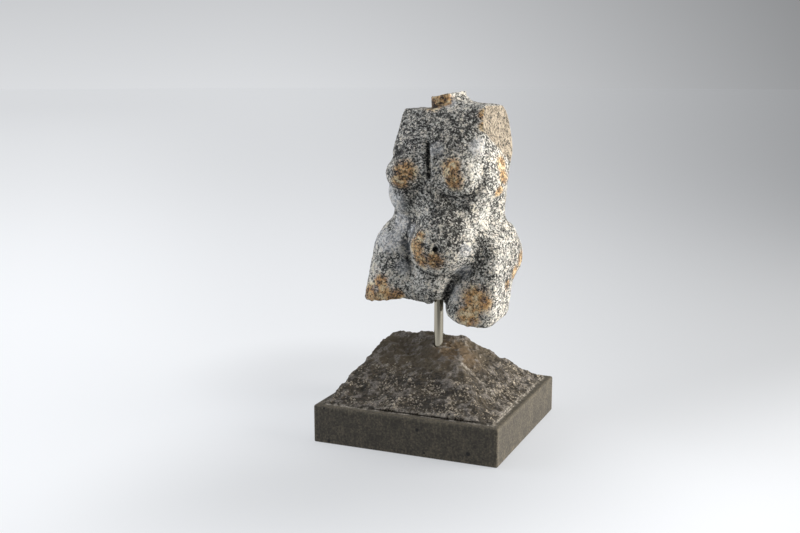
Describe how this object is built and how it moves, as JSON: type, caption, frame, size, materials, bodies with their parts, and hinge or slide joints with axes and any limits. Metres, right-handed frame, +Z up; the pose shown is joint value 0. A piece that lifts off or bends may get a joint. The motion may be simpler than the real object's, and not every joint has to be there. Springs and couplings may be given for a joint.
{
  "type": "stone torso sculpture",
  "caption": "Carved granite torso without head, arms or lower legs, raised on a slim steel rod over a square dark stone base with a rough-hewn mound.",
  "frame": {"origin": "centre of the base's square underside, on the surface it stands on", "axes": "+Z up along the rod; -Y towards the front of the figure; +X towards the figure's left side"},
  "size_m": [0.2, 0.2, 0.3593],
  "materials": {
    "torso": "hand-dressed speckled granite with rust stains, matt",
    "rod": "satin stainless steel",
    "base": "dark porous stone, sides sawn flat, mound left as hewn"
  },
  "bodies": {
    "root": {"torso": "torso", "rod": "rod", "base": "base"}
  },
  "joints": []
}
